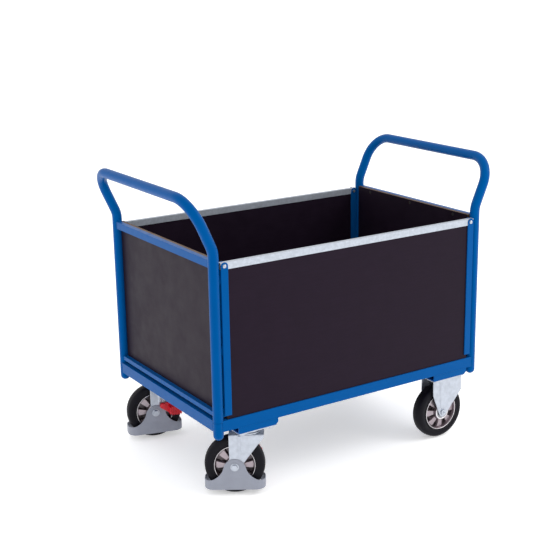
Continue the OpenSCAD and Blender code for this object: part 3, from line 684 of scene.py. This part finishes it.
def leg_edges(z, a0, a1, shoulder_z, boss=17.0):
    """Lowest and highest a of a fork leg at height z: round the axle, widening to the shoulder."""
    if z >= shoulder_z:
        return a0, a1
    rise = shoulder_z - AXLE_Z
    found = []
    for edge in (a1, a0):
        away = hypot(edge, rise)
        way = atan2(rise, edge)
        lean = way - acos(boss / away) if edge > 0 else way + acos(boss / away)
        touch = (boss * cos(lean), AXLE_Z + boss * sin(lean))
        if z >= touch[1]:
            share = (z - touch[1]) / (shoulder_z - touch[1])
            found.append(touch[0] + (edge - touch[0]) * share)
        else:
            reach = sqrt(max(boss ** 2 - (z - AXLE_Z) ** 2, 0.0))
            found.append(reach if edge > 0 else -reach)
    return found[1], found[0]


def pressed_leg(shape, side, a0, a1, shoulder_z, top_z, rib, thick=4.0):
    """One pressed fork leg with a raised rib; side is -1 or 1.
    rib holds (low a, high a, z) at its foot, the same at its head, and how proud it stands."""
    foot, head, proud = rib
    heights = [83 + 17 * (1 - cos(radians(t))) for t in range(0, 91, 9)]
    heights += [AXLE_Z + (top_z - AXLE_Z) * k / 26 for k in range(1, 27)]
    columns = 72
    for face, v in ((0, LEG_V), (1, LEG_V - thick)):
        rows = []
        for z in heights:
            low, high = leg_edges(z, a0, a1, shoulder_z)
            up = min(max((z - foot[2]) / (head[2] - foot[2]), 0.0), 1.0)
            rib_low, rib_high = (foot[i] + (head[i] - foot[i]) * up for i in (0, 1))
            row = []
            for k in range(columns + 1):
                a = low + (high - low) * k / columns
                swell = proud * ramp(a, rib_low, rib_low + 3) * ramp(-a, -rib_high, 3 - rib_high)
                swell *= ramp(z, foot[2], foot[2] + 9)
                inset = 0.9 if k in (0, columns) or z == heights[0] else 0.0
                row.append((a, side * (v + swell + (-inset if face == 0 else inset)), z))
            rows.append(row)
        shape.grid(rows)
        edges = [rows[0], [r[0] for r in rows], [r[-1] for r in rows], rows[-1]]
        if face == 0:
            outers = edges
    for first, second in zip(outers, edges):
        shape.grid([first, second])


def ramp(value, low, high):
    """Smooth step from 0 at low to 1 at high."""
    t = min(max((value - low) / (high - low), 0.0), 1.0)
    return t * t * (3 - 2 * t)


class TRUCK_OT_forks(bpy.types.Operator):
    """Pressed zinc-plated forks, castor plates and ball races"""
    bl_idname = "truck.forks"
    bl_label = "Castor forks"

    def execute(self, context):
        zinc = bright_zinc()
        for side in ("near", "far"):
            shape = Shape()
            for s in (-1, 1):
                pressed_leg(shape, s, -17.5, 97.0, 204.0, 206.5, ((11.0, 23.0, 131.0), (11.0, 23.0, 206.0), 2.6))
            # the crown folds into both legs
            fold = [(LEG_V, 206.4)] + arc((30.5, 207.9), 4, 0, 90, 6)
            path = fold + [(-v, z) for v, z in reversed(fold)]
            under = [(30.5, 206.4), (30.2, 207.7), (29.5, 208.0)]
            path += [(-v, z) for v, z in under] + list(reversed(under))
            shape.grid([[(a, v, z) for v, z in path] for a in (-17.5, -10, 20, 60, 90, 97.0)], close_columns=True)
            start = len(shape.points) - 6 * len(path)
            shape.faces += [tuple(range(start, start + len(path))),
                            tuple(range(len(shape.points) - 1, len(shape.points) - len(path) - 1, -1))]
            shape.marks += [0, 0]
            crisp(shape.made(side + "_fork_pressed", [zinc], side + "_castor", (side + "_swivel_fork",), "zinc",
                             swivel_matrix(side)), 40)
            dressed(side + "_swivel_race", zinc, 0.8, 50)
            fixed = Shape()
            for s in (-1, 1):
                pressed_leg(fixed, s, -46.0, 84.0, 170.0, 232.5, ((-14.0, 12.0, 112.0), (-20.0, 29.0, 232.0), 2.6))
            corner = 9.0
            plate = []
            for sx, sy, a in ((1, 1, 0), (-1, 1, 90), (-1, -1, 180), (1, -1, 270)):
                plate += [(9 + sx * (70 - corner) + corner * cos(radians(a + t)),
                           sy * (55 - corner) + corner * sin(radians(a + t))) for t in range(0, 91, 18)]
            fixed.slab(plate, 232.0, 237.0, place=lambda a, v, z: (a, z, v))
            crisp(fixed.made(side + "_fixed_fork_pressed", [zinc], "truck", ("fixed_fork_" + side,), "zinc",
                             fixed_matrix(side)), 40)
        dressed("swivel_plates", zinc, 0.8, 50)
        return {"FINISHED"}


class TRUCK_OT_tyres(bpy.types.Operator):
    """Round-shouldered elastic rubber tyres"""
    bl_idname = "truck.tyres"
    bl_label = "Tyres"

    def execute(self, context):
        wheels = context.scene.truck_wheels
        r, half, bead_r = wheels.wheel_d / MM / 2, wheels.tyre_w / MM / 2, wheels.rim_d / MM / 2 + 0.05
        shoulder = [(r - 14.5 + 13 * sin(radians(t)), 13 - half - 13 * cos(radians(t)))
                    for t in range(0, 91, 6)]
        side = [(bead_r, -half + 1), (bead_r + 1.2, -half + 0.2), (bead_r + 3.0, -half), (bead_r + 5.0, -half + 0.1),
                (bead_r + 5.6, -half + 0.7), (bead_r + 7.4, -half + 0.7), (bead_r + 8.0, -half + 0.1)]
        tread = [(r - 1.5 * (y / 11) ** 2, y) for y in (-9.5, -7.5, -5, -2.5, -0.6)] + [(r - 0.25, -0.3)]
        half_line = side + shoulder + tread
        line = half_line + [(q, -y) for q, y in reversed(half_line)]
        for name, place in WHEELS.items():
            shape = Shape()
            shape.turned(line, 96)
            piece = shape.made(name + "_tyre_moulded", [elastic_rubber()], name + "_wheel", (name + "_tyre",), "tyre",
                               place() @ Matrix.Translation((0, 0, r * MM)))
            crisp(piece, 50)
        return {"FINISHED"}


class TRUCK_OT_rims(bpy.types.Operator):
    """Die-cast rims with raised fans between deep pockets, turned edges and hubs"""
    bl_idname = "truck.rims"
    bl_label = "Rims"

    def execute(self, context):
        wheels = context.scene.truck_wheels
        rim_r, hub_r, fans = wheels.rim_d / MM / 2, wheels.hub_d / MM / 2, wheels.fans
        radii = [hub_r + (rim_r - 7 - hub_r) * k / 10 for k in range(11)]
        pocket_r = radii[-1]
        turns = 24 * fans

        def depth(r, t):
            share = (r - hub_r) / (pocket_r - hub_r)
            wave = cos(fans * t)
            lift = ramp(wave, -0.72 + 0.3 * share, -0.2 + 0.3 * share)
            ends = ramp(share, 0.0, 0.1) * 0.15 + 0.85
            return 3.5 + (17.0 - 5.5 * share) * lift * ends

        for name, place in WHEELS.items():
            shape = Shape()
            for s in (-1, 1):
                rows = [[(r * cos(2 * pi * k / turns), s * depth(r, 2 * pi * k / turns), r * sin(2 * pi * k / turns))
                         for k in range(turns)] for r in radii]
                shape.grid(rows, 0, close_columns=True)
                first = len(shape.marks) - turns * (len(radii) - 1)
                # faces deep in the pockets take the third finish, darkened aluminium that is painted shade
                for i in range(len(radii) - 1):
                    for k in range(turns):
                        if abs(depth(radii[i], 2 * pi * (k + 0.5) / turns)) < 7.5:
                            shape.marks[first + i * turns + k] = 2
                inner = [circle(r, s * y, turns)
                         for r, y in ((pocket_r + 1.2, 12.5), (pocket_r + 3.6, 20.0), (pocket_r + 4.4, 22.3))]
                shape.grid([rows[-1]] + inner, 0, close_columns=True)
                lip = ((pocket_r + 4.4, 22.3), (pocket_r + 5.0, 23.0), (rim_r - 0.9, 23.0), (rim_r - 0.2, 22.4),
                       (rim_r - 0.2, 0.0))
                hub = (hub_r, 4.9), (hub_r - 0.4, 25.0), (hub_r - 0.8, 29.2)
                face = ((hub_r - 0.8, 29.2), (hub_r - 1.6, 30.0), (24.2, 30.0), (23.6, 29.4), (23.6, 16.0),
                        (13.0, 16.0), (13.0, 0.0))
                for outline, mark in ((lip, 1), (hub, 0), (face, 1)):
                    shape.turned([(r, s * y) for r, y in outline], turns, mark, closed=False)
            # the third finish darkens the pocket faces as painted shade
            piece = shape.made(name + "_rim_cast", [cast_aluminium(), machined_aluminium(),
                                                  cast_aluminium("cast_pocket_painted_shade", 0.3)], name + "_wheel",
                               (name + "_rim",), "aluminium", place() @ Matrix.Translation((0, 0, 0.1)))
            crisp(piece, 38)
        return {"FINISHED"}


class TRUCK_OT_guards(bpy.types.Operator):
    """Foot guards: one pressed ring round the wheel, drawn up to a bell at each axle end"""
    bl_idname = "truck.guards"
    bl_label = "Foot guards"

    def execute(self, context):
        guards = context.scene.truck_guards
        reach, low, band, sheet = (v / MM for v in (guards.reach, guards.lower, guards.band, guards.sheet))
        dome, rise, flare = (v / MM for v in (guards.dome_r, guards.dome_rise, guards.flare_r))
        half, corner = 40.15, 32.0
        band_top = low + band
        # a quarter of the ring: (distance along, height of the upper edge)
        dome_z, flare_z = 100 + rise - dome, band_top + flare
        flare_a = sqrt((dome + flare) ** 2 - (flare_z - dome_z) ** 2)
        meet = degrees(atan2(flare_z - dome_z, flare_a))
        edge = arc((0, dome_z), dome, 90, meet, 16) + arc((flare_a, flare_z), flare, 180 + meet, 270, 16)[1:]
        straight = reach - corner
        full = straight + corner * pi / 2 + (half - corner)
        edge += [(flare_a + (full - flare_a) * k / 6, band_top) for k in range(1, 7)]

        def plan(s):
            """Point and outward way of the ring at distance s from the axle."""
            if s <= straight:
                return Vector((s, half)), Vector((0, 1))
            bend = (s - straight) / corner
            if bend <= pi / 2:
                way = Vector((sin(bend), cos(bend)))
                return Vector((straight, half - corner)) + corner * way, way
            return Vector((reach, half - corner - (s - straight - corner * pi / 2))), Vector((1, 0))

        quarter = [(*plan(s), top) for s, top in edge]
        ring = []
        for mx, my, order in ((1, 1, 1), (1, -1, -1), (-1, -1, 1), (-1, 1, -1)):
            part = [(Vector((p.x * mx, p.y * my)), Vector((w.x * mx, w.y * my)), top) for p, w, top in quarter]
            part = part if order == 1 else part[::-1]
            ring += part[:-1]
        levels = 24
        for side in ("near", "far"):
            shape = Shape()
            skins = []
            for inward in (0.0, sheet):
                rows = []
                for p, w, top in ring:
                    row = []
                    for k in range(levels + 1):
                        z = low + (top - low) * k / levels
                        lean = 3.0 * ramp(z, band_top - 16, band_top + 16)
                        if top <= band_top + 0.5:
                            lean *= ramp(abs(w.y), 0.5, 1.0)
                        ease = 0.8 if k in (0, levels) else 0.0
                        out = p - w * (lean + inward + (ease if inward == 0 else -ease))
                        row.append((out.x, out.y, z))
                    rows.append(row)
                shape.grid(rows, close_rows=True, flip=inward > 0)
                skins.append(rows)
            for k in (0, levels):
                shape.grid([[row[k] for row in skins[0]], [row[k] for row in skins[1]]], close_columns=True)
            crisp(shape.made(side + "_guard_pressed", [grey_powder_coat()], side + "_castor", (side + "_foot_guard",),
                             "guard_grey", swivel_matrix(side)), 50)
        return {"FINISHED"}


class TRUCK_OT_pedals(bpy.types.Operator):
    """Red nylon brake pedals with ribbed treads"""
    bl_idname = "truck.pedals"
    bl_label = "Brake pedals"

    def execute(self, context):
        upper = ((20, -3), (28, 1), (48, 5), (54, 9), (58, 5), (63.5, -7))
        lower = ((20, -27), (26, -31), (61, -31), (63.5, -28))

        def level(line, a):
            """Height of an outline at a."""
            for (a0, z0), (a1, z1) in zip(line, line[1:]):
                if a <= a1:
                    return z0 + (z1 - z0) * (a - a0) / (a1 - a0)
            return line[-1][1]

        for side, s in (("near", 1), ("far", -1)):
            inner, outer = 37.85, 42.85
            shape = Shape()

            def plate(outline, low, high):
                shape.slab([(a + 26, z + 125) for a, z in outline], s * low, s * high)

            plate(arc((0, 0), 10.8, 100, 236, 12) + [(20, -27), (24, -30), (61, -33), (63, -31), (63, -7), (57, 6),
                                                     (54, 11), (30, 11)], inner, outer)
            # the tread is a core with seven upright fins that stand proud of its top and front
            plate([(21, -26), (27, -29.5), (60, -29.5), (62.5, -26), (62.5, -8), (57, 3), (54, 6.5), (48, 3), (28, -1),
                   (21, -5)], outer - 1, outer + 20.5)
            for k in range(7):
                a0 = 20.4 + 6.6 * k
                a1 = a0 + 3.4
                plate([(a0, level(lower, a0)), (a1, level(lower, a1)), (a1, level(upper, a1)), (a0, level(upper, a0))],
                      outer - 0.5, outer + 24.6)
            # a hollow cap hides the head of the pin
            first = len(shape.points)
            shape.turned([(7.6, s * 42.8), (9.8, s * 42.8), (9.8, s * 45.9), (9.0, s * 46.7), (0.01, s * 46.7),
                          (0.01, s * 45.9), (7.6, s * 45.9)], 32)
            shape.points[first:] = [(x + 26, y, z + 125) for x, y, z in shape.points[first:]]
            piece = shape.made(side + "_pedal_moulded", [red_nylon()], side + "_pedal", (side + "_brake_pedal",),
                               "pedal_red", swivel_matrix(side))
            eased(piece, 0.7, 40)
            crisp(piece, 80)
        return {"FINISHED"}


class TRUCK_OT_stage(bpy.types.Operator):
    """Pale studio floor, soft light and the camera"""
    bl_idname = "truck.stage"
    bl_label = "Stage"

    def execute(self, context):
        scene = context.scene
        stage = scene.truck_stage
        mesh = bpy.data.meshes.new("studio_floor")
        work = bmesh.new()
        bmesh.ops.create_grid(work, x_segments=2, y_segments=2, size=60)
        work.to_mesh(mesh)
        work.free()
        mesh.materials.append(studio_paper())
        ground = bpy.data.objects.new("studio_floor", mesh)
        scene.collection.objects.link(ground)
        ground.location = (0, 0, -0.0005)
        room = bpy.data.worlds.new("white_room")
        room.use_nodes = True
        glow = room.node_tree.nodes["Background"]
        glow.inputs["Color"].default_value = linear("#FFFFFF")
        glow.inputs["Strength"].default_value = stage.room
        scene.world = room
        for name, power, size, spot, aim in (
                ("key_box", stage.key, 2.2, (2.6, -2.4, 3.4), (0, 0, 0.4)),
                ("fill_box", stage.fill, 1.6, (-3.8, 0.7, 1.9), (-0.5, 0, 0.5))):
            light = bpy.data.lights.new(name, "AREA")
            light.shape, light.size, light.energy = "SQUARE", size, power
            lamp = bpy.data.objects.new(name, light)
            scene.collection.objects.link(lamp)
            lamp.location = spot
            lamp.rotation_euler = (Vector(aim) - Vector(spot)).to_track_quat("-Z", "Y").to_euler()
        lens = bpy.data.cameras.new("camera")
        lens.sensor_width, lens.lens = 36.0, stage.lens
        lens.clip_start, lens.clip_end = 0.05, 400
        camera = bpy.data.objects.new("camera", lens)
        scene.collection.objects.link(camera)
        azimuth, elevation, roll = radians(-32.83), radians(15.87), radians(-0.88)
        back = Vector((sin(azimuth) * cos(elevation), -cos(azimuth) * cos(elevation), sin(elevation)))
        right = Vector((cos(azimuth), sin(azimuth), 0))
        up = back.cross(right)
        x_way = right * cos(roll) + up * sin(roll)
        y_way = up * cos(roll) - right * sin(roll)
        camera.matrix_world = Matrix((x_way, y_way, back)).transposed().to_4x4()
        camera.location = (-2.1970, -3.2958, 1.7158)
        scene.camera = camera
        scene.view_settings.view_transform = "Standard"
        return {"FINISHED"}


STEPS = (TRUCK_OT_frame, TRUCK_OT_handles, TRUCK_OT_sockets, TRUCK_OT_welds, TRUCK_OT_boards, TRUCK_OT_rails,
         TRUCK_OT_fasteners, TRUCK_OT_forks, TRUCK_OT_tyres, TRUCK_OT_rims, TRUCK_OT_guards, TRUCK_OT_pedals,
         TRUCK_OT_stage)


class TRUCK_PT_panel(bpy.types.Panel):
    """Lists the truck's pieces and their sizes"""
    bl_label = "Platform truck"
    bl_space_type = "VIEW_3D"
    bl_region_type = "UI"
    bl_category = "Platform truck"

    def draw(self, context):
        for step in STEPS:
            self.layout.operator(step.bl_idname)
        for group in GROUPS:
            box = self.layout.box()
            for name in GROUPS[group].__annotations__:
                box.prop(getattr(context.scene, group), name)


GROUPS = {"truck_tubes": TruckTubes, "truck_wheels": TruckWheels, "truck_guards": TruckGuards,
          "truck_finishes": TruckFinishes, "truck_stage": TruckStage}


def register():
    for made in (*GROUPS.values(), *STEPS, TRUCK_PT_panel):
        bpy.utils.register_class(made)
    for name, group in GROUPS.items():
        setattr(bpy.types.Scene, name, PointerProperty(type=group))


def unregister():
    for name in GROUPS:
        delattr(bpy.types.Scene, name)
    for made in (TRUCK_PT_panel, *reversed(STEPS), *reversed(tuple(GROUPS.values()))):
        bpy.utils.unregister_class(made)


def main():
    for left in [o for o in bpy.context.scene.objects if o.type in {"CAMERA", "LIGHT"}]:
        bpy.data.objects.remove(left)
    register()
    for step in STEPS:
        group, name = step.bl_idname.split(".")
        getattr(getattr(bpy.ops, group), name)()
    bpy.context.view_layer.update()


if __name__ == "__main__":
    main()
